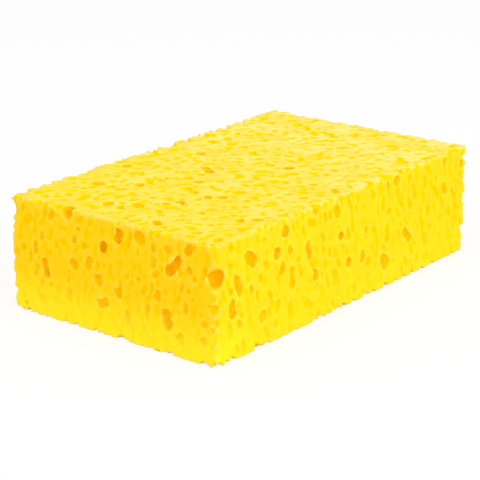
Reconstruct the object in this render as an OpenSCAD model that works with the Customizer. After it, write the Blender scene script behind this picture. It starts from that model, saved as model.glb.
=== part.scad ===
// Cellulose cleaning sponge: one block of foam, with pores open on all six faces.
// Millimetres. X runs along the length, Y across the width and Z up.
// The origin is at the middle of the underside.

/* [Block] */
// Length of the block
block_length = 180; // [140:1:220]
// Width of the block
block_width = 110; // [85:1:135]
// Height of the block
block_height = 50; // [40:1:65]

/* [Pores] */
// Opening width of the widest scattered pore
pore_width_max = 5.8; // [4:0.1:7]
// Opening width of the widest scattered pore on a face that has placed ones
pore_width_between = 4; // [3.6:0.1:7]
// Opening width of the narrowest scattered pore
pore_width_min = 2.2; // [1.8:0.1:3.5]
// Size of the placed pores against their listed sizes
placed_scale = 1; // [0.8:0.05:1.2]
// Thinnest wall left between two pores
pore_wall = 0.5; // [0.3:0.1:2]
// Mean height over width of a side pore, because the foam rises as it sets
pore_rise = 1.5; // [1:0.1:2]
// How far the rise leans towards the left end, because the block was cut out of line with it
rise_lean_left = 16; // [0:1:30]
// How far the rise leans towards the front
rise_lean_front = 11; // [0:1:30]
// Mean distance between two scattered pores
pore_pitch = 12; // [10:0.5:16]
// Number that picks one scatter of the pores
pore_seed = 7; // [1:1:99]

/* [Edges] */
// Width of the widest nick that the knife tore out of an edge
nick_width_max = 4.2; // [3:0.1:5]
// Width of the narrowest nick
nick_width_min = 2; // [1.5:0.1:3]
// Mean distance between two nicks on an edge
nick_pitch = 14; // [12:0.5:30]

/* [Hidden] */

// How far under the face a bubble's centre lies, over its radius: the knife left most as shallow caps
sink_min = -0.7;
sink_max = 0.4;
undercut = 0.6;
deep = 0.35;
half = 0;
shallow = -0.45;
// A pore is one bubble, and one more run into it for each time its length gains this share of its width
bubble_share = 0.42;
// Radius of a pore's last bubble over that of its first
bubble_taper = 0.92;
// How far inside an edge a bubble that breaks it has its centre, over its radius
edge_share = 0.25;
// How far a scattered pore may stray from the middle of its cell, over the cell's width
cell_share = 0.36;
// How far a nick may stray along its edge
nick_stray = 3;
// How far a scattered pore's length over width may stray
stretch_share = 0.35;
// Most that a side pore leans away from the rise
lean_max = 14;
// How strongly the scattered widths crowd towards the narrowest
crowding = 1.5;
sphere_fn = 24;

half_length = block_length / 2;
half_width = block_width / 2;

// Each face: its corner, the directions of u, v and the outward normal, and its lengths along u and v
faces = [
    [[-half_length, -half_width, block_height], [1, 0, 0], [0, 1, 0], [0, 0, 1], block_length, block_width],
    [[-half_length, -half_width, 0], [1, 0, 0], [0, 0, 1], [0, -1, 0], block_length, block_height],
    [[-half_length, half_width, 0], [0, -1, 0], [0, 0, 1], [-1, 0, 0], block_width, block_height],
    [[half_length, -half_width, 0], [0, 1, 0], [0, 0, 1], [1, 0, 0], block_width, block_height],
    [[half_length, half_width, 0], [-1, 0, 0], [0, 0, 1], [0, 1, 0], block_length, block_height],
    [[-half_length, -half_width, 0], [0, 1, 0], [1, 0, 0], [0, 0, -1], block_width, block_length],
];

// Direction in which the foam rose
rise = [-tan(rise_lean_left), -tan(rise_lean_front), 1];

// The pores placed one by one on the top, the long front and the left end: u and v as hundredths of the face,
// width, length, lean of the length from v towards u, and depth
placed = [
    [
        [5, 33.5, 3.4, 7.2, 35, deep], [12, 53, 4.8, 7.2, 30, deep], [19, 83.8, 5.4, 7.8, 30, half],
        [1, 71, 6.4, 6.4, 0, deep], [9, 63.5, 4, 6, 50, deep], [5, 15, 4.6, 5, 0, half],
        [20, 7, 4.4, 4.4, 0, deep], [16.5, 46, 3.4, 4.5, 50, deep], [24, 70, 4.2, 6.6, 45, deep],
        [33.5, 33.5, 6, 6, 0, half], [34, 91.5, 4, 6, 50, deep], [35.3, 61, 4, 6, 40, half],
        [28, 34.5, 4.8, 5, 0, deep], [43.3, 62.3, 4.2, 11, 32, deep], [39.5, 60.5, 4.4, 5, 0, half],
        [34.3, 54.5, 4.4, 6, 20, deep], [46, 53, 5, 7, 40, shallow], [56.3, 38.5, 5, 6.5, 0, deep],
        [53, 32.5, 6.4, 6.4, 0, shallow], [61.5, 22.5, 4.6, 6, 90, half], [47.6, 5.4, 3.2, 7, 45, deep],
        [36, 1.5, 5, 5, 0, deep], [73.5, 33, 4, 6.4, 90, shallow], [88, 56, 5, 5, 0, half],
        [40, 88.5, 5, 5, 0, shallow], [53.5, 80, 4.6, 6.6, 60, half], [68.5, 86, 4, 8, 40, shallow],
        [37.5, 48.5, 4, 5, 80, half], [54.5, 100, 9, 9, 0, shallow], [18.5, 55, 3.6, 4.6, 90, half],
        [19.5, 43.5, 4, 4.6, 0, deep], [19.5, 28, 4, 4.4, 0, half], [29.5, 24.5, 3, 5, 50, half],
        [39, 10, 4, 5, 60, half], [8.4, 83, 3.4, 5.4, 60, half], [10.2, 71.5, 2.4, 5, 60, half],
        [3.3, 46.5, 3, 4, 30, half], [8.4, 56.5, 3, 6, 45, deep], [16.3, 28.5, 3, 5, 45, half],
        [15.2, 38, 2.4, 3.6, 60, half], [21.2, 74.5, 3, 5, -40, half], [26.2, 38.9, 3, 6, 45, deep],
        [23.6, 40, 2.8, 5, 60, half], [27.2, 47, 3.2, 5, 20, deep], [31, 52, 2.8, 4.6, 60, shallow],
        [31.2, 79.5, 2.8, 6.6, 50, half], [25.6, 89.8, 2.8, 4, 30, half], [13.9, 84, 2.8, 4, 30, half],
        [15.9, 92.6, 2.2, 3.4, 50, half], [46.7, 83.2, 3.2, 4.6, 45, half], [56.6, 75, 2.4, 3.4, 60, half],
        [58, 68.5, 2.8, 4.2, 60, half], [55.7, 62.5, 4, 5, 60, half], [53.7, 48.5, 2.4, 3.4, 60, half],
        [48.5, 37, 3, 4.4, 40, half], [45.3, 32, 4.4, 6.4, 70, shallow], [38.8, 37.5, 4, 5.8, 20, shallow],
        [57.4, 21.5, 2.8, 5, 60, half], [64.6, 42.5, 3.6, 8, 50, shallow], [68.4, 51.8, 2.4, 6, 45, shallow],
        [77.4, 51, 2.4, 3, 80, half], [90.8, 65.5, 3, 5, 30, shallow], [41.7, 18.2, 2.4, 3.4, 60, half],
        [25.8, 20.5, 2.8, 4, 60, half], [11, 17, 2.8, 4, 20, half], [19.2, 17.3, 2.6, 4, 50, half],
        [17.3, 11.7, 3.4, 5, 45, deep], [4.2, 4.3, 3.4, 5.4, 60, deep], [8, 11.8, 2.2, 4, 75, half],
        [12.2, 32, 2.8, 4, 50, half], [8.9, 24.8, 3.2, 3.6, 0, half], [74, 87.5, 3, 6, 50, shallow],
        [56.1, 31.6, 2.4, 3.5, 80, half], [23, 26.8, 3, 3.4, 70, shallow], [13.3, 23.5, 2.6, 3.2, 60, half],
        [14.2, 76.8, 2.2, 3.2, 60, half], [4.3, 55, 2.8, 4, 40, shallow], [44.5, 22.4, 2.6, 3.2, 30, shallow],
        [51.2, 27.5, 3.8, 4.6, 20, shallow], [32, 67.5, 2.2, 5.6, 50, half], [46, 78.7, 3, 5, 70, shallow],
        [56.3, 78.4, 2.8, 3.4, 0, half], [24.2, 64.9, 2.2, 2.8, 60, half], [68, 79.8, 2.2, 3.6, 70, half],
        [71.5, 16.5, 4, 5.8, -30, shallow], [54.3, 92, 3.6, 5.6, 60, shallow],
        [59.2, 88, 4, 7.6, -40, shallow], [19.5, 92.6, 3.2, 6.4, 0, shallow], [5.4, 94, 4.6, 7, 45, shallow],
        [26.4, 85.6, 2.6, 5.6, 50, shallow], [14.4, 18.4, 2.2, 6.4, -20, shallow],
        [38, 25.8, 3, 4, 20, shallow], [71.4, 91.5, 3, 4.4, 50, shallow],
    ],
    [
        [0.8, 73, 9, 9, 0, half], [12.2, 78, 4.6, 9.4, -48, deep], [8, 60, 4.4, 10, -22, deep],
        [21.5, 73, 4.6, 5.6, 0, deep], [5.8, 43, 4, 7.6, -10, deep], [24.5, 89, 4.5, 4.6, 0, deep],
        [17.8, 67.5, 3.4, 5, -40, half], [23.5, 59, 4.2, 6, 15, half], [27, 47.5, 4, 10, 0, half],
        [33.3, 65, 3.4, 8.4, -15, deep], [36, 40, 4.2, 5.4, -25, deep], [45.5, 64.5, 3.2, 3.2, 0, undercut],
        [49, 38, 3.8, 4.8, -15, deep], [16.5, 26, 5, 6.8, -20, half], [26.5, 20, 4.6, 9, -5, shallow],
        [64, 24, 5.4, 7.8, -40, deep], [60.5, 46, 3.2, 6.6, -10, shallow], [65, 49, 4.4, 9, 0, shallow],
        [73.5, 39.5, 3.6, 8.6, -41, deep], [90.3, 68, 4.4, 6.6, -40, half], [83, 54, 3.6, 5.6, -10, shallow],
        [81.5, 81, 3.6, 7, -10, shallow], [68.5, 93, 5, 5, 0, half], [34.4, 87, 4.4, 7.2, -65, shallow],
        [57, 30, 5, 6, 0, shallow], [44, 88, 4, 6, -25, half], [69, 65, 2.6, 5.4, -20, shallow],
        [63, 77, 3.6, 7, -5, shallow], [30.3, 49, 2.8, 4.6, -10, half], [41.3, 55, 2.6, 4.4, -15, half],
        [1.9, 52, 3.4, 3.6, 0, shallow], [26.2, 71.5, 2.8, 4.6, -35, deep], [5.5, 78, 2.6, 3.4, -30, half],
        [5.6, 94, 2.6, 4, -25, half], [11.4, 63, 2.2, 3.2, -20, half], [15.7, 58.5, 2.6, 3.8, -20, half],
        [12.4, 52.5, 2.8, 4, -25, half], [19, 41, 2.6, 5, -30, half], [8.7, 36, 2.4, 3.6, -20, half],
        [4.8, 22, 2.6, 4.2, -25, half], [21.8, 28, 4, 6, 0, shallow], [33.5, 17, 4, 8, -60, shallow],
        [38.5, 23, 3.2, 7, -10, shallow], [40.3, 33, 2.6, 4.2, -15, half], [44.8, 41, 2.6, 4.8, -25, half],
        [48.7, 65, 2.8, 6, -25, half], [39.5, 87, 2.8, 5, -20, half], [38.6, 70, 3, 5, -20, half],
        [52.4, 91.5, 2.4, 5.6, -25, shallow], [58.6, 90.5, 3.6, 6, -25, shallow],
        [76.6, 77, 3.6, 8, -25, shallow], [84.5, 75, 2.8, 6, -30, shallow],
        [74.5, 67, 3.4, 6.4, -35, shallow], [81.8, 27, 4.6, 7.6, -25, shallow],
        [92.6, 44, 3.6, 6, -25, shallow], [75.6, 24, 2.6, 6.4, -18, half],
    ],
    [
        [17, 43, 4, 8.4, -12, deep], [32, 53.5, 5, 6, 0, half], [39.5, 58, 4, 6.6, 20, half],
        [44, 45, 5, 5.4, 0, half], [46, 27, 4, 7, 65, deep], [47.5, 76, 3.2, 4.8, 15, undercut],
        [54.8, 88, 3.8, 6.8, 20, undercut], [65, 91, 6, 6, 0, half], [81, 75, 3.6, 11, 42, undercut],
        [77, 30, 5.4, 9, -10, deep], [88, 91.5, 3.4, 5.2, 35, deep], [71, 74, 3, 5, 0, half],
        [73, 47, 3.2, 4.8, 20, deep], [78, 86.5, 3.4, 4.4, 10, half], [67.5, 31, 3.2, 7, 15, half],
        [58, 21, 3.6, 6, 10, half], [53.5, 39, 4.4, 4.6, 0, half], [28.5, 25, 4, 6.6, 15, half],
        [14.5, 15, 5, 7, 0, shallow], [22, 17, 4.6, 6, 0, shallow], [12, 59, 2.8, 6, 10, half],
        [88, 74, 3.2, 4, 0, half], [93.7, 19, 3.6, 3.6, 0, half], [32.5, 75, 2.8, 2.8, 0, deep],
        [37, 72, 3.2, 4.4, 0, half], [21, 91.5, 3, 5.6, 28, half], [35.5, 93, 3, 5, 60, shallow],
        [34.9, 84.8, 2.2, 3, 20, half], [90.3, 69, 2.8, 3.6, 20, half], [72.2, 64.5, 2.4, 4, 50, half],
        [64, 56, 2.4, 3.4, 40, half], [58.2, 55.5, 2.2, 2.6, 0, half], [46.5, 60, 3.2, 3.8, 0, shallow],
        [55, 65, 2.4, 4, 20, shallow], [25, 56.5, 2.4, 3, 0, shallow], [66.4, 48, 2.8, 4.4, 25, half],
        [82.2, 48, 2.8, 5.4, 35, shallow], [86, 43, 2.8, 4.6, 5, half], [89, 51, 2.2, 3, 0, half],
        [94.2, 34, 3.2, 4, 0, half], [53.6, 19.5, 2.4, 3.4, 0, shallow], [36.5, 24, 2.8, 4.4, 15, shallow],
        [8, 82, 5, 8, 45, shallow], [15.5, 71, 2.6, 4, 0, half], [20, 74, 2.6, 6.4, 30, shallow],
        [23, 66.5, 2.4, 3.6, 20, half], [26.5, 82, 2.4, 5, 80, shallow], [16, 83, 3, 6, 50, shallow],
        [70.4, 53, 2.2, 3.6, 0, half], [92.8, 41, 2.4, 3, 0, shallow], [97.2, 48, 2.4, 4, -20, half],
        [98, 31, 2.4, 3, 0, half], [87.5, 57.6, 2.2, 2.8, 30, half], [11.2, 36, 2.2, 3, 0, half],
        [63.3, 30.5, 2.6, 4, 10, shallow],
    ],
    [],
    [],
    [],
];

function level(f) = abs(faces[f][3].z) == 1;

// One pore as its bubbles, each [face, place on the face, radius, place in the block]
function bubbles(f, u, v, width, length, lean, sink) =
    let (
        n = 1 + floor((length / width - 1) / bubble_share),
        first = width / 2 / sqrt(1 - sink * sink),
        gap = n == 1 ? 0 : (length - width) / (n - 1)
    )
    [for (i = [0 : n - 1])
        let (
            along = (i - (n - 1) / 2) * gap,
            r = first * (n == 1 ? 1 : 1 + (bubble_taper - 1) * i / (n - 1)),
            p = [u + along * sin(lean), v + along * cos(lean), -sink * r]
        )
        [f, p, r, faces[f][0] + p.x * faces[f][1] + p.y * faces[f][2] + p.z * faces[f][3]]];

// Whether each bubble of a pore leaves a wall to each one kept
function clear(pore, kept) =
    len([for (b = pore, k = kept) if (norm(b[3] - k[3]) < b[2] + k[2] + pore_wall) 1]) == 0;

// Keeps each tried pore that leaves a wall to all before it
function packed(tries, kept = [], i = 0) =
    i == len(tries) ? kept
    : packed(tries, clear(tries[i], kept) ? concat(kept, tries[i]) : kept, i + 1);

function cuts_edge(x, size, reach) = x < reach + pore_wall || x > size - reach - pore_wall;

function to_edge(x, size, r) = x < size / 2 ? edge_share * r : size - edge_share * r;

// The pore at one place, which is a single bubble where it breaks an edge
function pore(f, u, v, width, length, lean, sink) =
    let (
        cut_u = cuts_edge(u, faces[f][4], length / 2),
        cut_v = cuts_edge(v, faces[f][5], length / 2),
        edge_u = cut_u ? to_edge(u, faces[f][4], width / 2) : u,
        edge_v = cut_v ? to_edge(v, faces[f][5], width / 2) : v
    )
    cut_u || cut_v
    ? bubbles(f, edge_u, edge_v, width, width, 0, sink)
    : bubbles(f, u, v, width, length, lean, sink);

function listed(f) =
    [for (p = placed[f])
        pore(
            f, p[0] * faces[f][4] / 100, p[1] * faces[f][5] / 100,
            p[2] * placed_scale, p[3] * placed_scale, p[4], p[5]
        )];

// One pore in each cell of a face, at a chance place, width and depth
function scattered(f) =
    let (
        cells_u = round(faces[f][4] / pore_pitch),
        cells_v = round(faces[f][5] / pore_pitch),
        n = cells_u * cells_v,
        widest = len(placed[f]) > 0 ? pore_width_between : pore_width_max,
        us = rands(-cell_share, cell_share, n, pore_seed + 10 * f),
        vs = rands(-cell_share, cell_share, n, pore_seed + 10 * f + 1),
        leans = rands(-1, 1, n, pore_seed + 10 * f + 2),
        sinks = rands(sink_min, sink_max, n, pore_seed + 10 * f + 3),
        widths = rands(0, 1, n, pore_seed + 10 * f + 4),
        stretches = rands(-stretch_share, stretch_share, n, pore_seed + 10 * f + 5)
    )
    [for (i = [0 : cells_u - 1], j = [0 : cells_v - 1])
        let (
            k = i * cells_v + j,
            width = pore_width_min + (widest - pore_width_min) * pow(widths[k], crowding),
            stretch = max(1, (level(f) ? 1 + stretch_share : pore_rise) + stretches[k]),
            lean = level(f) ? 180 * leans[k] : atan(rise * faces[f][1]) + lean_max * leans[k]
        )
        pore(
            f, (i + 0.5 + us[k]) * faces[f][4] / cells_u, (j + 0.5 + vs[k]) * faces[f][5] / cells_v,
            width, width * stretch, lean, sinks[k]
        )];

// Places along the edges that a face answers for: all four of a level face, the upright two of a long side
function edge_places(f) =
    let (
        start = nick_pitch / 2,
        upright = [for (u = [0, faces[f][4]], v = [start : nick_pitch : faces[f][5] - start]) [u, v]],
        flat = [for (v = [0, faces[f][5]], u = [start : nick_pitch : faces[f][4] - start]) [u, v]]
    )
    level(f) ? concat(upright, flat) : faces[f][4] == block_length ? upright : [];

function strayed(x, size, stray) = x > 0 && x < size ? x + stray : x;

function nicks(f) =
    let (
        places = edge_places(f),
        strays = rands(-nick_stray, nick_stray, len(places) + 1, pore_seed + 10 * f + 6),
        widths = rands(nick_width_min, nick_width_max, len(places) + 1, pore_seed + 10 * f + 7)
    )
    [for (k = [0 : 1 : len(places) - 1])
        pore(
            f, strayed(places[k].x, faces[f][4], strays[k]), strayed(places[k].y, faces[f][5], strays[k]),
            widths[k], widths[k], 0, shallow
        )];

pores = packed([
    for (f = [0 : 5]) each listed(f),
    for (f = [0 : 5]) each scattered(f),
    for (f = [0 : 5]) each nicks(f),
]);

// The matrix that puts a sphere at its bubble's place, with its poles along its face's normal
function stand(bubble) =
    [for (row = [0 : 2]) [for (way = [1 : 3]) faces[bubble[0]][way][row], bubble[3][row]]];

module pore_field() {
    for (bubble = pores)
        multmatrix(stand(bubble))
            sphere(r = bubble[2], $fn = sphere_fn);
}

module sponge() {
    color("gold")
        difference() {
            translate([-half_length, -half_width, 0])
                cube([block_length, block_width, block_height]);
            pore_field();
        }
}

sponge();
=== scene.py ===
"""The looks of a cellulose cleaning sponge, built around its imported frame."""

import logging
import math
import random
from collections.abc import Iterator
from dataclasses import dataclass, field
from enum import Enum

import bmesh
import bpy
import numpy as np
from mathutils import Matrix, Vector
from mathutils.bvhtree import BVHTree


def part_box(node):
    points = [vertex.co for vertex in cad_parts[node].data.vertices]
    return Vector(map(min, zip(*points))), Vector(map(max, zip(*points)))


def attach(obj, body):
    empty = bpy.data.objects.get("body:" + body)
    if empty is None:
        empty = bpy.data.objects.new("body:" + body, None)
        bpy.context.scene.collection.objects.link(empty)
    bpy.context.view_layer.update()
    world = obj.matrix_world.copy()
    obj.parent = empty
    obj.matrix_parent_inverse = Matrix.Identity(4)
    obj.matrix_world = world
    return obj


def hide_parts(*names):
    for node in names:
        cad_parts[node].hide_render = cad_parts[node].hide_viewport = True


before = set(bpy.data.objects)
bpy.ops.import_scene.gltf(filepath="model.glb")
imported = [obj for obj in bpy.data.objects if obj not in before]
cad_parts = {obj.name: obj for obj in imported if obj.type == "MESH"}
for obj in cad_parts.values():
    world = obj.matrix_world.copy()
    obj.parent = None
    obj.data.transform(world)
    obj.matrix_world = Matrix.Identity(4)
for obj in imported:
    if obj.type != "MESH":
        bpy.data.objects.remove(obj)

MM = 0.001
# The square centimetres in a square metre
CM2_PER_M2 = 1e4
# The axis that points up
UPRIGHT = 2
UP = Vector((0, 0, 1))
# The way that the foam rose while it set, which its pores lean along
RISE = Vector((-0.29, -0.19, 1.0))
LOG = logging.getLogger("sponge")

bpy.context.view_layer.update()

Colour = tuple[float, float, float]
Socket = bpy.types.NodeSocket
Tree = bpy.types.NodeTree


def live(sockets: bpy.types.bpy_prop_collection, name: str) -> Socket:
    """The socket of a node that has this name and is in use."""
    return next(socket for socket in sockets if socket.name == name and socket.enabled)


def stand(name: str, data: bpy.types.ID | None) -> bpy.types.Object:
    """Adds an object to the scene.

    Args:
        name: What it is called.
        data: Its mesh, light or camera, or None for a plain handle.

    Returns:
        The object.
    """
    made = bpy.data.objects.new(name, data)
    bpy.context.scene.collection.objects.link(made)
    return made


def as_mesh(name: str, shape: bmesh.types.BMesh) -> bpy.types.Mesh:
    """Turns a shape into a mesh, and frees the shape.

    Args:
        name: What the mesh is called.
        shape: The shape.

    Returns:
        The mesh.
    """
    mesh = bpy.data.meshes.new(name)
    shape.to_mesh(mesh)
    shape.free()
    return mesh


def show_camera(
    tree: Tree, share: Socket, lit: bpy.types.Node, seen: bpy.types.Node, output: str
) -> None:
    """Shows the camera one shader where the light meets another.

    Args:
        tree: The nodes.
        share: How much of the second shader a ray meets.
        lit: The shader that the light meets.
        seen: The shader that the camera sees.
        output: The name of the node that takes them.
    """
    mix = tree.nodes.new("ShaderNodeMixShader")
    tree.links.new(share, mix.inputs["Fac"])
    tree.links.new(lit.outputs[0], mix.inputs[1])
    tree.links.new(seen.outputs[0], mix.inputs[2])
    tree.links.new(mix.outputs[0], tree.nodes[output].inputs["Surface"])


def leaning(along: Vector) -> Matrix:
    """The turn that leans something upright along a direction."""
    return UP.rotation_difference(along).to_matrix().to_4x4()


def chance_width(draw: random.Random, narrowest: float, widest: float, bias: float) -> float:
    """A width between two, which a higher bias makes narrow more often."""
    return narrowest + (widest - narrowest) * draw.random() ** bias


class Side(Enum):
    """A face of the block, as the axis that it faces along and the way it faces."""

    TOP = (2, 1)
    UNDERSIDE = (2, -1)
    FRONT = (1, -1)
    BACK = (1, 1)
    LEFT = (0, -1)
    RIGHT = (0, 1)

    @property
    def axis(self) -> int:
        """The axis that the face looks along."""
        return self.value[0]

    @property
    def way(self) -> int:
        """1 where the face looks along its axis, and -1 where it looks against it."""
        return self.value[1]

    @property
    def level(self) -> bool:
        """Whether the face lies flat."""
        return self.axis == UPRIGHT

    def across(self) -> tuple[int, int]:
        """The two axes in the face's own plane, with any upright one last."""
        first, second = (a for a in range(3) if a != self.axis)
        return first, second


@dataclass(frozen=True)
class Block:
    """The straight-sided block that the foam was cut to, in metres."""

    low: Vector
    high: Vector

    @property
    def size(self) -> Vector:
        """The block's length, width and height."""
        return self.high - self.low

    @property
    def middle(self) -> Vector:
        """The middle of the block."""
        return (self.low + self.high) / 2

    def area(self, side: Side) -> float:
        """The area of one face."""
        first, second = side.across()
        return self.size[first] * self.size[second]

    def point(self, side: Side, first: float, second: float, depth: float) -> Vector:
        """A point under one face.

        Args:
            side: The face.
            first: How far along the face's first axis, from 0 to 1.
            second: How far along its second axis, from 0 to 1.
            depth: How far under the face.

        Returns:
            The point, in the row frame.
        """
        spot = Vector((0, 0, 0))
        for axis, share in zip(side.across(), (first, second)):
            spot[axis] = self.low[axis] + share * self.size[axis]
        edge = self.high if side.way > 0 else self.low
        spot[side.axis] = edge[side.axis] - side.way * depth
        return spot


@dataclass(frozen=True)
class Skin:
    """The CAD block's own surface, which says where a face is still whole."""

    block: Block
    tree: BVHTree
    lift: float = 1 * MM
    slack: float = 0.05 * MM
    probes: int = 8

    def whole(self, side: Side, spot: Vector, reach: float) -> bool:
        """Whether no pore of the CAD block opens near a spot on a face.

        Args:
            side: The face.
            spot: The spot, at any depth.
            reach: How far round the spot the face has to be whole.

        Returns:
            True if it is whole there, as far as the face goes.
        """
        low, high = self.block.low, self.block.high
        inward = Vector((0, 0, 0))
        inward[side.axis] = -side.way
        first, second = side.across()
        for i in range(self.probes + 1):
            turn = math.tau * i / self.probes
            away = reach if i < self.probes else 0
            probe = self.block.point(side, 0, 0, -self.lift)
            probe[first] = spot[first] + away * math.cos(turn)
            probe[second] = spot[second] + away * math.sin(turn)
            on_face = all(low[a] < probe[a] < high[a] for a in (first, second))
            hit = self.tree.ray_cast(probe, inward, self.lift + self.slack)[0]
            if on_face and hit is None:
                return False
        return True


@dataclass(frozen=True)
class Pores:
    """One range of pores, scattered evenly over what the CAD block's pores leave of its faces.

    Counts are per square centimetre of a level or an upright face, and widths are in millimetres.
    Depths are a ball's centre under the face, over its radius.
    """

    narrowest: float
    widest: float
    deepest: float
    seed: int
    on_level: float = 0.0
    on_upright: float = 0.0
    shallowest: float = -0.7
    flattest: float = 1.2
    tallest: float = 2.2
    bias: float = 1.3
    stray: float = 0.14
    margin: float = 0.3
    tries: int = 4

    def shapes(self, skin: Skin) -> list[Matrix]:
        """The place and the shape of each pore.

        Args:
            skin: The CAD block's surface, which they open on.

        Returns:
            For each pore the matrix that makes it from a unit ball.
        """
        draw = random.Random(self.seed)
        made = []
        for side in Side:
            columns, rows = self._grid(skin.block, side)
            for i in range(columns):
                for j in range(rows):
                    width = chance_width(draw, self.narrowest, self.widest, self.bias)
                    sink = draw.uniform(self.shallowest, self.deepest)
                    radius = width * MM / 2 / math.sqrt(1 - sink * sink)
                    for _ in range(self.tries):
                        across = (i + draw.random()) / columns, (j + draw.random()) / rows
                        spot = skin.block.point(side, *across, sink * radius)
                        if skin.whole(side, spot, (width / 2 + self.margin) * MM):
                            made.append(Matrix.Translation(spot) @ self._shape(side, radius, draw))
                            break
        return made

    def _grid(self, block: Block, side: Side) -> tuple[int, int]:
        """How many columns and rows of pores a face has.

        Args:
            block: The block.
            side: The face.

        Returns:
            The two counts, which are 0 on a face that has none of these pores.
        """
        count = (self.on_level if side.level else self.on_upright) * block.area(side) * CM2_PER_M2
        if not count:
            return 0, 0
        first, second = side.across()
        columns = max(1, round(math.sqrt(count * block.size[first] / block.size[second])))
        return columns, max(1, round(count / columns))

    def _shape(self, side: Side, radius: float, draw: random.Random) -> Matrix:
        """One pore's stretch and lean.

        Args:
            side: The face that it opens on.
            radius: Its radius across the stretch.
            draw: Where the chances come from.

        Returns:
            The matrix that makes it from a unit ball.
        """
        stretch = draw.uniform(self.flattest, self.tallest)
        if side.level:
            turn = Matrix.Rotation(draw.uniform(0, math.pi), 4, "Z")
            return turn @ Matrix.Diagonal((radius, radius * math.sqrt(stretch), radius, 1))
        along = RISE.copy()
        along[side.axis] = 0
        turn = Matrix.Rotation(draw.gauss(0, self.stray), 4, "XYZ"[side.axis])
        return turn @ leaning(along) @ Matrix.Diagonal((radius, radius, radius * stretch, 1))


@dataclass(frozen=True)
class Nibbles:
    """The small bites that the saw and wear leave along the twelve edges, in millimetres."""

    spacing: float = 4.2
    foot_spacing: float = 7.0
    upright_spacing: float = 5.0
    narrowest: float = 0.8
    widest: float = 3.6
    bias: float = 1.6
    stray: float = 0.5
    slimmest: float = 0.8
    stoutest: float = 1.3
    seed: int = 41

    def shapes(self, skin: Skin) -> list[Matrix]:
        """The place and the shape of each bite.

        Args:
            skin: The surface of the block whose edges they are on.

        Returns:
            For each bite the matrix that makes it from a unit ball.
        """
        block = skin.block
        draw = random.Random(self.seed)
        made = []
        for axis, ends, spacing in self._edges(block):
            others = [a for a in range(3) if a != axis]
            count = round(block.size[axis] / (spacing * MM))
            for i in range(count):
                spot = Vector((0, 0, 0))
                spot[axis] = block.low[axis] + block.size[axis] * (i + draw.random()) / count
                for other, end in zip(others, ends):
                    spot[other] = end[other] + draw.gauss(0, self.stray) * MM
                radius = chance_width(draw, self.narrowest, self.widest, self.bias) * MM / 2
                size = [radius * draw.uniform(self.slimmest, self.stoutest) for _ in range(3)]
                made.append(Matrix.Translation(spot) @ Matrix.Diagonal((*size, 1)))
        return made

    def _edges(self, block: Block) -> Iterator[tuple[int, list[Vector], float]]:
        """Goes round the block's twelve edges.

        Args:
            block: The block.

        Yields:
            The axis that the edge runs along, the corner that gives its place on each of the other
            two, and how far apart its bites are.
        """
        for axis in range(3):
            for corner in range(4):
                ends = [(block.low, block.high)[corner >> bit & 1] for bit in range(2)]
                level_spacing = self.foot_spacing if ends[1] is block.low else self.spacing
                yield axis, ends, self.upright_spacing if axis == UPRIGHT else level_spacing


@dataclass(frozen=True)
class Hollows:
    """Bubbles that run on behind pores which break an edge.

    Each is its distance from the left end, from the front and over the underside, and its radius,
    in millimetres.
    """

    spots: tuple[tuple[float, float, float, float], ...] = (
        (3.6, 3.2, 36.5, 3.2),
        (2.4, 78.4, 47.0, 2.6),
    )

    def shapes(self, skin: Skin) -> list[Matrix]:
        """The place and the shape of each bubble.

        Args:
            skin: The surface of the block that they are in.

        Returns:
            For each bubble the matrix that makes it from a unit ball.
        """
        return [
            Matrix.Translation(skin.block.low + Vector(spot) * MM) @ Matrix.Scale(radius * MM, 4)
            for *spot, radius in self.spots
        ]


@dataclass(frozen=True)
class Noise:
    """A soft random pattern in a piece's own space."""

    scale: float
    detail: float
    roughness: float = 0.5


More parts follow.
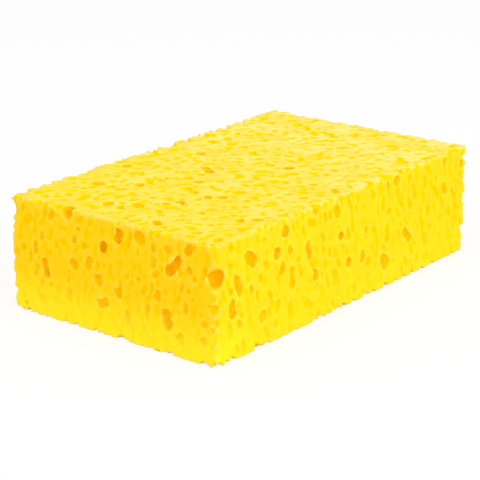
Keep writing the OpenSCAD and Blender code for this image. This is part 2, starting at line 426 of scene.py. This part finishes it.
@dataclass(frozen=True)
class Paint:
    """The nodes of one material, and the steps that its colours are mixed by."""

    tree: Tree

    def attribute(self, name: str) -> Socket:
        """Reads an attribute of the mesh.

        Args:
            name: The attribute's name.

        Returns:
            Its value at the point.
        """
        reader = self.tree.nodes.new("ShaderNodeAttribute")
        reader.attribute_name = name
        return reader.outputs["Fac"]

    def noise(self, kind: Noise, place: Socket) -> Socket:
        """Adds a random pattern.

        Args:
            kind: The pattern.
            place: The point, in the piece's own space.

        Returns:
            The pattern's value at the point.
        """
        noise = self.tree.nodes.new("ShaderNodeTexNoise")
        noise.inputs["Scale"].default_value = kind.scale
        noise.inputs["Detail"].default_value = kind.detail
        noise.inputs["Roughness"].default_value = kind.roughness
        self.tree.links.new(place, noise.inputs["Vector"])
        return noise.outputs["Fac"]

    def ramp(self, value: Socket, stops: tuple[tuple[float, Colour], ...]) -> Socket:
        """Looks a colour up, and eases from each to the next.

        Args:
            value: The value to look up, from 0 to 1.
            stops: Each colour with its value, in rising order.

        Returns:
            The colour.
        """
        ramp = self.tree.nodes.new("ShaderNodeValToRGB")
        ramp.color_ramp.interpolation = "EASE"
        while len(ramp.color_ramp.elements) < len(stops):
            ramp.color_ramp.elements.new(0.5)
        for stop, (at, colour) in zip(ramp.color_ramp.elements, stops):
            stop.position = at
            stop.color = (*colour, 1)
        self.tree.links.new(value, ramp.inputs["Fac"])
        return ramp.outputs["Color"]

    def over(self, name: str, under: Socket, share: Socket, colour: Colour) -> Socket:
        """Lays a colour over another.

        Args:
            name: What the new node is called.
            under: The colour that is there.
            share: How much of the new colour there is, from 0 to 1.
            colour: The new colour.

        Returns:
            The two colours together.
        """
        mix = self.tree.nodes.new("ShaderNodeMix")
        mix.name = name
        mix.data_type = "RGBA"
        self.tree.links.new(share, live(mix.inputs, "Factor"))
        self.tree.links.new(under, live(mix.inputs, "A"))
        live(mix.inputs, "B").default_value = (*colour, 1)
        return live(mix.outputs, "Result")

    def fade(
        self,
        value: Socket,
        start: float,
        reach: float,
        first: float,
        last: float,
        kind: str = "SMOOTHSTEP",
    ) -> Socket:
        """Fades from one share to another.

        Args:
            value: What it follows, such as a height.
            start: The value at which the fade starts.
            reach: How far on it ends.
            first: The share before the fade.
            last: The share after it.
            kind: Blender's name for the way it goes.

        Returns:
            The share at the point.
        """
        fade = self.tree.nodes.new("ShaderNodeMapRange")
        fade.interpolation_type = kind
        fade.inputs["From Min"].default_value = start
        fade.inputs["From Max"].default_value = start + reach
        fade.inputs["To Min"].default_value = first
        fade.inputs["To Max"].default_value = last
        self.tree.links.new(value, fade.inputs["Value"])
        return fade.outputs["Result"]

    def times(self, first: Socket, *others: Socket) -> Socket:
        """Multiplies shares.

        Args:
            first: The first of them.
            others: The rest.

        Returns:
            Their product.
        """
        for other in others:
            product = self.tree.nodes.new("ShaderNodeMath")
            product.operation = "MULTIPLY"
            self.tree.links.new(first, product.inputs[0])
            self.tree.links.new(other, product.inputs[1])
            first = product.outputs[0]
        return first


@dataclass(frozen=True)
class FoamFinish:
    """Dyed cellulose: matte and cloudy, pale outside and deep in its pores, with painted light and
    shade.
    """

    name: str = "yellow_cellulose"
    roughness: float = 0.9
    specular: float = 0.0
    # The dye by the depth under the nearest face, from the cut face to a pore's floor, with
    # painted
    # shade: the deeper stops are darker and more orange. A stop gives its depth as a share of the
    # scale
    depth_name: str = "depth"
    depth_scale: float = 5 * MM
    dye_and_pore_shade: tuple[tuple[float, Colour], ...] = (
        (0.02, (1.0, 0.665, 0.012)),
        (0.09, (0.9, 0.64, 0.0)),
        (0.25, (0.95, 0.595, 0.0)),
        (0.7, (1.0, 0.57, 0.0)),
    )
    cloud: Noise = Noise(120, 4)
    clouding: float = 0.08
    # Painted shade: the left end, on the side away from the lights, made a deeper orange
    end: Colour = (1.0, 0.55, 0.0)
    shaded_end_reach: float = 6 * MM
    shaded_end_share: float = 0.5
    # Painted light: the foot made paler, for the white floor's bounce, most at the left end
    floor_bounce_light: Colour = (1.0, 0.82, 0.015)
    floor_bounce_height: float = 24 * MM
    floor_bounce_reach: float = 30 * MM
    floor_bounce_most: float = 0.9
    floor_bounce_least: float = 0.35
    # Painted light: the thin convex rims made paler, for the light they catch and let through
    rim_name: str = "rim_light"
    rim_light: Colour = (1.0, 0.76, 0.11)
    # Painted shade: the pores of the top made darker than its face
    shaded_top_pores: Colour = (0.9, 0.655, 0.0)
    shaded_top_pores_reach: float = 2.5 * MM
    # Painted sheen and light: the top's skin made paler, palest at the right end, and patchy
    top_sheen_light: Colour = (1.0, 0.79, 0.23)
    crown_height: float = 1.2 * MM
    top_sheen_depth: float = 0.5 * MM
    top_sheen_least: float = 0.5
    mottle: Noise = Noise(60, 6, 0.7)
    mottle_start: float = 0.35
    mottle_reach: float = 0.3
    mottle_least: float = 0.3
    grain: Noise = Noise(1400, 3)
    grain_strength: float = 0.2
    grain_height: float = 0.3 * MM

    def material(self, block: Block) -> bpy.types.Material:
        """Builds the finish.

        Args:
            block: The block that gives the heights and the ends.

        Returns:
            The material.
        """
        made = bpy.data.materials.new(self.name)
        made.use_nodes = True
        tree = made.node_tree
        paint = Paint(tree)
        shader = tree.nodes["Principled BSDF"]
        shader.inputs["Roughness"].default_value = self.roughness
        shader.inputs["Specular IOR Level"].default_value = self.specular
        place = tree.nodes.new("ShaderNodeTexCoord").outputs["Object"]
        tree.links.new(self._colour(paint, block, place), shader.inputs["Base Color"])
        bump = tree.nodes.new("ShaderNodeBump")
        bump.inputs["Strength"].default_value = self.grain_strength
        bump.inputs["Distance"].default_value = self.grain_height
        tree.links.new(paint.noise(self.grain, place), bump.inputs["Height"])
        tree.links.new(bump.outputs["Normal"], shader.inputs["Normal"])
        return made

    def _colour(self, paint: Paint, block: Block, place: Socket) -> Socket:
        """Mixes the colour, from the dye and its painted pore shade outwards through painted light
        and shade.

        Args:
            paint: The material's nodes.
            block: The block that gives the heights and the ends.
            place: The point, in the piece's own space.

        Returns:
            The colour.
        """
        parts = paint.tree.nodes.new("ShaderNodeSeparateXYZ")
        paint.tree.links.new(place, parts.inputs["Vector"])
        along, height = parts.outputs["X"], parts.outputs["Z"]
        depth = paint.attribute(self.depth_name)
        low, high, crown = block.low, block.high, self.crown_height
        skin = self.top_sheen_depth / self.depth_scale

        # Painted shade: the deeper orange of the left end
        end = paint.fade(along, low.x, self.shaded_end_reach, self.shaded_end_share, 0)
        # Painted light: the floor's bounce, paler low down and most at the left end
        floor_bounce_share = paint.times(
            paint.fade(height, low.z, self.floor_bounce_height, self.floor_bounce_most, 0),
            paint.fade(along, low.x, self.floor_bounce_reach, 1, self.floor_bounce_least),
        )
        # Painted shade: the top's pores, darker under its paler skin
        in_shaded_top_pores = paint.times(
            paint.fade(depth, 0, skin, 0, 1),
            paint.fade(height, high.z - self.shaded_top_pores_reach, crown, 0, 1),
        )
        patches = paint.noise(self.mottle, place)
        # Painted sheen and light: the top's skin, palest at the right end
        top_sheen_share = paint.times(
            paint.fade(height, high.z - crown, crown / 2, 0, 1),
            paint.fade(along, low.x, block.size.x, self.top_sheen_least, 1),
            paint.fade(depth, 0, skin, 1, 0),
            paint.fade(patches, self.mottle_start, self.mottle_reach, self.mottle_least, 1),
        )

        # The dye, with painted shade deeper in the pores
        colour = self._dyed_with_pore_shade(paint, depth, place)
        # Painted shade on the left end
        colour = paint.over("end", colour, end, self.end)
        # Painted light from the floor's bounce at the foot
        colour = paint.over("floor_bounce_light", colour, floor_bounce_share, self.floor_bounce_light)
        # Painted light on the convex rims
        colour = paint.over("rims", colour, paint.attribute(self.rim_name), self.rim_light)
        # Painted shade in the pores of the top
        colour = paint.over("shaded_top_pores", colour, in_shaded_top_pores, self.shaded_top_pores)
        # Painted sheen and light on the top
        return paint.over("top_sheen_light", colour, top_sheen_share, self.top_sheen_light)

    def _dyed_with_pore_shade(self, paint: Paint, depth: Socket, place: Socket) -> Socket:
        """The dye's colour, with painted shade deeper in the pores, a little cloudy.

        Args:
            paint: The material's nodes.
            depth: The depth under the nearest face, from 0 to 1.
            place: The point, in the piece's own space.

        Returns:
            The colour.
        """
        cloud = paint.noise(self.cloud, place)
        swing = paint.fade(cloud, 0, 1, 1 - self.clouding, 1 + self.clouding, "LINEAR")
        tint = paint.tree.nodes.new("ShaderNodeHueSaturation")
        paint.tree.links.new(swing, tint.inputs["Value"])
        paint.tree.links.new(paint.ramp(depth, self.dye_and_pore_shade), tint.inputs["Color"])
        return tint.outputs["Color"]


@dataclass(frozen=True)
class Sway:
    """A soft random bend of the whole foam."""

    reach: float
    length: float

    def texture(self) -> bpy.types.Texture:
        """Makes the clouds that move a point along the three axes.

        Returns:
            The texture.
        """
        clouds = bpy.data.textures.new("sway", "CLOUDS")
        clouds.cloud_type = "COLOR"
        clouds.noise_scale = self.length
        clouds.noise_depth = 0
        return clouds


@dataclass(frozen=True)
class Cells:
    """The shallow cups that the knife leaves of the bubbles under a face."""

    width: float = 2.6 * MM
    stretch: float = 2.0
    depth: float = 0.35 * MM
    level_share: float = 0.25
    # How far from a cup's middle its flat floor ends and the web starts, over the cells' width
    floor_end: float = 0.15
    web_start: float = 0.75

    def texture(self) -> bpy.types.Texture:
        """Makes rounded cells, 0 in a cup's middle and 1 on the web between the cups.

        Returns:
            The texture.
        """
        cells = bpy.data.textures.new("cells", "VORONOI")
        cells.distance_metric = "DISTANCE"
        cells.noise_scale = self.width
        cells.noise_intensity = 1.0
        cells.use_color_ramp = True
        ramp = cells.color_ramp
        ramp.interpolation = "EASE"
        for stop, at, height in zip(ramp.elements, (self.floor_end, self.web_start), (0, 1)):
            stop.position = at
            stop.color = (height, height, height, 1)
        return cells

    def holder(self) -> bpy.types.Object:
        """Makes a handle that stretches the cells along the rise.

        Returns:
            The handle.
        """
        holder = stand("rise", None)
        holder.matrix_world = leaning(RISE) @ Matrix.Diagonal((1, 1, self.stretch, 1))
        return holder


@dataclass
class SpongeFoam:
    """The foam block: the CAD block's own pores, with the smaller ones between them."""

    block: Block
    finish: FoamFinish = field(default_factory=FoamFinish)
    # The wider pores of the level and of the upright faces, and the fine ones of all six
    pores: tuple[Pores, ...] = (
        Pores(1.9, 4.4, deepest=0.0, seed=11, on_level=3.6, flattest=1.4, tallest=3.0),
        Pores(1.4, 2.9, deepest=0.1, seed=17, on_upright=3.6, flattest=1.6, tallest=3.6),
        Pores(1.0, 1.8, deepest=0.1, seed=23, on_level=5.0, on_upright=3.5),
    )
    nibbles: Nibbles = field(default_factory=Nibbles)
    hollows: Hollows = field(default_factory=Hollows)
    sways: tuple[Sway, ...] = (Sway(2.2 * MM, 7.0 * MM), Sway(0.8 * MM, 2.4 * MM))
    cells: Cells = field(default_factory=Cells)
    merging: float = 0.001 * MM
    ball_detail: int = 2
    voxel: float = 0.45 * MM
    smoothing: int = 3
    softness: float = 0.5
    # How freely a face bends against the inside, and the depth from which the foam bends freely
    face_share: float = 0.12
    face_depth: float = 2.5 * MM
    weight_steps: int = 32
    most_triangles: int = 195_000
    rim_radius: float = 0.9 * MM
    rim_spread: int = 1

    def build(self) -> bpy.types.Object:
        """Makes the foam from the CAD block.

        Returns:
            The finished piece.
        """
        foam = self.shape()
        foam.data.shade_smooth()
        foam.data.materials.clear()
        foam.data.materials.append(self.finish.material(self.block))
        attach(foam, "root")
        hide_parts("sponge")
        return foam

    def shape(self) -> bpy.types.Object:
        """Cuts, rounds and bends the foam.

        Returns:
            The foam with no finish yet.
        """
        foam = self._copy_of_cad("sponge")
        places = [vertex.co for vertex in foam.data.vertices]
        tree = BVHTree.FromPolygons(places, [face.vertices for face in foam.data.polygons])
        self._cut(foam, self._bubbles(Skin(self.block, tree)))
        self._log(foam, "cut")
        self._even(foam, self.smoothing)
        self._log(foam, "evened")
        self._bend(foam)
        self._thin(foam)
        self._drop_crumbs(foam)
        self._log(foam, "thinned")
        self._mark_rims(foam)
        return foam

    @staticmethod
    def _log(piece: bpy.types.Object, step: str) -> None:
        """Reports a step and the faces after it."""
        LOG.info("%s %s: %d faces", piece.name, step, len(piece.data.polygons))

    def _copy_of_cad(self, node: str) -> bpy.types.Object:
        """Copies a CAD node as a closed mesh.

        Args:
            node: The node's name.

        Returns:
            The copy.
        """
        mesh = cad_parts[node].data.copy()
        mesh.name = "foam_block"
        for name in [a.name for a in mesh.attributes if not a.is_required]:
            mesh.attributes.remove(mesh.attributes[name])
        shape = bmesh.new()
        shape.from_mesh(mesh)
        bmesh.ops.remove_doubles(shape, verts=shape.verts, dist=self.merging)
        shape.to_mesh(mesh)
        shape.free()
        return stand("foam_block", mesh)

    def _bubbles(self, skin: Skin) -> bpy.types.Object:
        """Makes the small pores and the bites as one form, run together where they meet.

        Args:
            skin: The CAD block's surface.

        Returns:
            The form that is cut out of the block.
        """
        ball = bmesh.new()
        bmesh.ops.create_icosphere(ball, subdivisions=self.ball_detail, radius=1)
        mould = as_mesh("ball", ball)
        shape = bmesh.new()
        for kind in (*self.pores, self.nibbles, self.hollows):
            for form in kind.shapes(skin):
                mould.transform(form)
                shape.from_mesh(mould)
                mould.transform(form.inverted())
        bpy.data.meshes.remove(mould)
        made = stand("bubbles", as_mesh("bubbles", shape))
        self._even(made, 0)
        return made

    def _cut(self, foam: bpy.types.Object, bubbles: bpy.types.Object) -> None:
        """Cuts the bubbles out of the foam, and removes them.

        Args:
            foam: The foam.
            bubbles: The form that is cut out.
        """
        cut = foam.modifiers.new("cut", "BOOLEAN")
        cut.operation = "DIFFERENCE"
        cut.solver = "MANIFOLD"
        cut.object = bubbles
        self._apply(foam)
        bpy.data.objects.remove(bubbles)

    @staticmethod
    def _apply(piece: bpy.types.Object) -> None:
        """Applies every modifier of a piece to its mesh.

        Args:
            piece: The piece.
        """
        graph = bpy.context.evaluated_depsgraph_get()
        made = bpy.data.meshes.new_from_object(piece.evaluated_get(graph))
        old = piece.data
        piece.modifiers.clear()
        piece.data = made
        bpy.data.meshes.remove(old)

    def _even(self, piece: bpy.types.Object, rounds: int) -> None:
        """Gives a piece an even mesh, and rounds its thin rims off.

        Args:
            piece: The piece.
            rounds: How often it is smoothed.
        """
        even = piece.modifiers.new("even", "REMESH")
        even.mode = "VOXEL"
        even.voxel_size = self.voxel
        if rounds:
            soft = piece.modifiers.new("round", "SMOOTH")
            soft.factor = self.softness
            soft.iterations = rounds
        self._apply(piece)

    def _bend(self, foam: bpy.types.Object) -> None:
        """Bends the pores out of round and cups the faces, which stay almost flat.

        Args:
            foam: The foam, with its even mesh.
        """
        inside, skin = self._groups(foam)
        for sway in self.sways:
            bend = foam.modifiers.new("sway", "DISPLACE")
            bend.texture = sway.texture()
            bend.texture_coords = "LOCAL"
            bend.direction = "RGB_TO_XYZ"
            bend.mid_level = 0.5
            bend.strength = sway.reach
            bend.vertex_group = inside
        cup = foam.modifiers.new("cells", "DISPLACE")
        holder = self.cells.holder()
        cup.texture = self.cells.texture()
        cup.texture_coords = "OBJECT"
        cup.texture_coords_object = holder
        cup.direction = "NORMAL"
        cup.mid_level = 1.0
        cup.strength = self.cells.depth
        cup.vertex_group = skin
        self._apply(foam)
        bpy.data.objects.remove(holder)

    def _groups(self, foam: bpy.types.Object) -> tuple[str, str]:
        """Marks each point's depth, how freely it moves, and how deeply its face is cupped.

        Args:
            foam: The foam, with its even mesh.

        Returns:
            The two vertex groups' names.
        """
        mesh = foam.data
        places = self._read(mesh.vertices, "co", 3)
        middle = np.array(self.block.middle, np.float32)
        half = np.array(self.block.size / 2, np.float32)
        depths = half - np.abs(places - middle)
        depth = depths.min(axis=1)
        self._store(mesh, self.finish.depth_name, depth / self.finish.depth_scale)
        inward = np.clip(depth / self.face_depth, 0, 1)
        free = self.face_share + (1 - self.face_share) * inward
        cupped = np.where(depths.argmin(axis=1) == UPRIGHT, self.cells.level_share, 1.0)
        cupped *= 1 - inward
        for name, weight in (("inside", free), ("skin", cupped)):
            group = foam.vertex_groups.new(name=name)
            steps = np.round(weight * self.weight_steps).astype(int)
            for step in range(1, self.weight_steps + 1):
                members = np.flatnonzero(steps == step).tolist()
                group.add(members, step / self.weight_steps, "REPLACE")
        return "inside", "skin"

    @staticmethod
    def _read(
        items: bpy.types.bpy_prop_collection, name: str, width: int, kind: type = np.float32
    ) -> np.ndarray:
        """Reads one property of every item.

        Args:
            items: The items, such as a mesh's vertices.
            name: The property.
            width: How many numbers it has.
            kind: The numbers' type.

        Returns:
            A row of numbers for each item.
        """
        values = np.empty(len(items) * width, kind)
        items.foreach_get(name, values)
        return values.reshape(-1, width)

    @staticmethod
    def _store(mesh: bpy.types.Mesh, name: str, shares: np.ndarray) -> None:
        """Stores a share at each point of a mesh, kept from 0 to 1, for the finish to read."""
        made = mesh.attributes.new(name, "FLOAT", "POINT")
        made.data.foreach_set("value", np.clip(shares, 0, 1).astype(np.float32))

    def _thin(self, foam: bpy.types.Object) -> None:
        """Leaves triangles where the shape turns, and takes them from the flats.

        Args:
            foam: The foam.
        """
        triangles = sum(len(face.vertices) - 2 for face in foam.data.polygons)
        thin = foam.modifiers.new("thin", "DECIMATE")
        thin.ratio = min(1, self.most_triangles / triangles)
        self._apply(foam)
        foam.vertex_groups.clear()

    @staticmethod
    def _drop_crumbs(foam: bpy.types.Object) -> None:
        """Removes every bit of foam that hangs on nothing.

        Args:
            foam: The foam.
        """
        shape = bmesh.new()
        shape.from_mesh(foam.data)
        seen: set[bmesh.types.BMVert] = set()
        bits: list[list[bmesh.types.BMVert]] = []
        for start in shape.verts:
            if start in seen:
                continue
            seen.add(start)
            bit = [start]
            for vert in bit:
                near = [edge.other_vert(vert) for edge in vert.link_edges]
                new = [other for other in near if other not in seen]
                seen.update(new)
                bit.extend(new)
            bits.append(bit)
        bits.sort(key=len)
        for crumb in bits[:-1]:
            bmesh.ops.delete(shape, geom=crumb, context="VERTS")
        shape.to_mesh(foam.data)
        shape.free()

    def _mark_rims(self, foam: bpy.types.Object) -> None:
        """Stores how sharply the foam turns outwards at each point, from 0 to 1.

        Args:
            foam: The foam.
        """
        mesh = foam.data
        places = self._read(mesh.vertices, "co", 3)
        normals = self._read(mesh.vertex_normals, "vector", 3)
        first, second = self._read(mesh.edges, "vertices", 2, np.int32).T
        run = places[second] - places[first]
        bend = np.einsum("ij,ij->i", normals[second] - normals[first], run)
        bend /= np.einsum("ij,ij->i", run, run)
        total = np.zeros(len(places))
        count = np.zeros(len(places))
        for end in (first, second):
            np.add.at(total, end, bend)
            np.add.at(count, end, 1)
        turn = total / np.maximum(count, 1)
        for _ in range(self.rim_spread):
            spread = np.zeros(len(places))
            np.add.at(spread, first, turn[second])
            np.add.at(spread, second, turn[first])
            turn = (turn + spread / np.maximum(count, 1)) / 2
        # The finish paints the rims paler by this, as painted light
        self._store(mesh, self.finish.rim_name, turn * self.rim_radius)


@dataclass(frozen=True)
class Softbox:
    """A square light that faces the object: its place, its side and its power in watts."""

    name: str
    place: tuple[float, float, float]
    size: float
    power: float

    def build(self) -> None:
        """Adds the light."""
        light = bpy.data.lights.new(self.name, "AREA")
        light.size = self.size
        light.energy = self.power
        holder = stand(self.name, light)
        holder.location = self.place
        holder.rotation_euler = (-Vector(self.place)).to_track_quat("-Z", "Y").to_euler()


@dataclass(frozen=True)
class FloorFinish:
    """A matte floor that looks almost white, and keeps a soft shadow."""

    name: str = "pale_floor"
    grey: float = 0.9
    roughness: float = 0.9
    specular: float = 0.1
    # How much of it the camera sees as plain white
    whiteness: float = 0.8

    def material(self) -> bpy.types.Material:
        """Builds the finish.

        Returns:
            The material.
        """
        made = bpy.data.materials.new(self.name)
        made.use_nodes = True
        tree = made.node_tree
        shader = tree.nodes["Principled BSDF"]
        shader.inputs["Base Color"].default_value = (self.grey, self.grey, self.grey, 1)
        shader.inputs["Roughness"].default_value = self.roughness
        shader.inputs["Specular IOR Level"].default_value = self.specular
        white = tree.nodes.new("ShaderNodeEmission")
        white.inputs["Strength"].default_value = 1.0
        share = tree.nodes.new("ShaderNodeMath")
        share.operation = "MULTIPLY"
        share.inputs[1].default_value = self.whiteness
        path = tree.nodes.new("ShaderNodeLightPath")
        tree.links.new(path.outputs["Is Camera Ray"], share.inputs[0])
        show_camera(tree, share.outputs[0], shader, white, "Material Output")
        return made


@dataclass
class Studio:
    """The floor, the lights and the camera, whose angles are in degrees."""

    block: Block
    floor_finish: FloorFinish = field(default_factory=FloorFinish)
    azimuth: float = -141.493
    elevation: float = 18.089
    distance: float = 733.05 * MM
    roll: float = -0.318
    lens: float = 124.99
    shift: tuple[float, float] = (-0.0198, -0.0349)
    softboxes: tuple[Softbox, ...] = (
        Softbox("overhead", (0.0, 0.1, 1.6), 1.2, 6.5),
        Softbox("front", (-0.2, -1.6, 0.8), 1.4, 13.6),
        Softbox("left", (-1.5, 0.3, 0.8), 1.4, 5.4),
    )
    world_light: float = 0.7
    floor_radius: float = 4.0
    floor_corners: int = 96
    floor_gap: float = 0.02 * MM

    def build(self) -> None:
        """Makes everything round the object."""
        self._floor()
        self._world()
        for softbox in self.softboxes:
            softbox.build()
        self._camera()

    def _floor(self) -> None:
        """Makes a plain pale floor."""
        shape = bmesh.new()
        corners, radius = self.floor_corners, self.floor_radius
        bmesh.ops.create_circle(shape, cap_ends=True, segments=corners, radius=radius)
        floor = stand("floor", as_mesh("floor", shape))
        floor.location.z = self.block.low.z - self.floor_gap
        floor.data.materials.append(self.floor_finish.material())

    def _world(self) -> None:
        """Surrounds the object with even white light."""
        world = bpy.data.worlds.new("studio")
        world.use_nodes = True
        bpy.context.scene.world = world
        tree = world.node_tree
        light = tree.nodes["Background"]
        seen = tree.nodes.new("ShaderNodeBackground")
        for background, strength in ((light, self.world_light), (seen, 1)):
            background.inputs["Color"].default_value = (1, 1, 1, 1)
            background.inputs["Strength"].default_value = strength
        path = tree.nodes.new("ShaderNodeLightPath")
        show_camera(tree, path.outputs["Is Camera Ray"], light, seen, "World Output")

    def _camera(self) -> None:
        """Stands the camera and aims it at the middle of the block."""
        turn, tip = math.radians(self.azimuth), math.radians(self.elevation)
        flat = math.cos(tip)
        away = Vector((flat * math.cos(turn), flat * math.sin(turn), math.sin(tip)))
        lens = bpy.data.cameras.new("camera")
        lens.lens = self.lens
        lens.shift_x, lens.shift_y = self.shift
        camera = stand("camera", lens)
        aim = (-away).to_track_quat("-Z", "Y").to_matrix().to_4x4()
        roll = Matrix.Rotation(math.radians(self.roll), 4, "Z")
        place = Matrix.Translation(self.block.middle + away * self.distance)
        camera.matrix_world = place @ aim @ roll
        bpy.context.scene.camera = camera


def main() -> None:
    """Builds the sponge and its studio."""
    logging.basicConfig(level=logging.INFO, format="%(name)s: %(message)s")
    bpy.context.scene.view_settings.view_transform = "Standard"
    block = Block(*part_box("sponge"))
    Studio(block).build()
    piece = SpongeFoam(block).build()
    LOG.info("%s: %d faces", piece.name, len(piece.data.polygons))


if __name__ == "__main__":
    main()
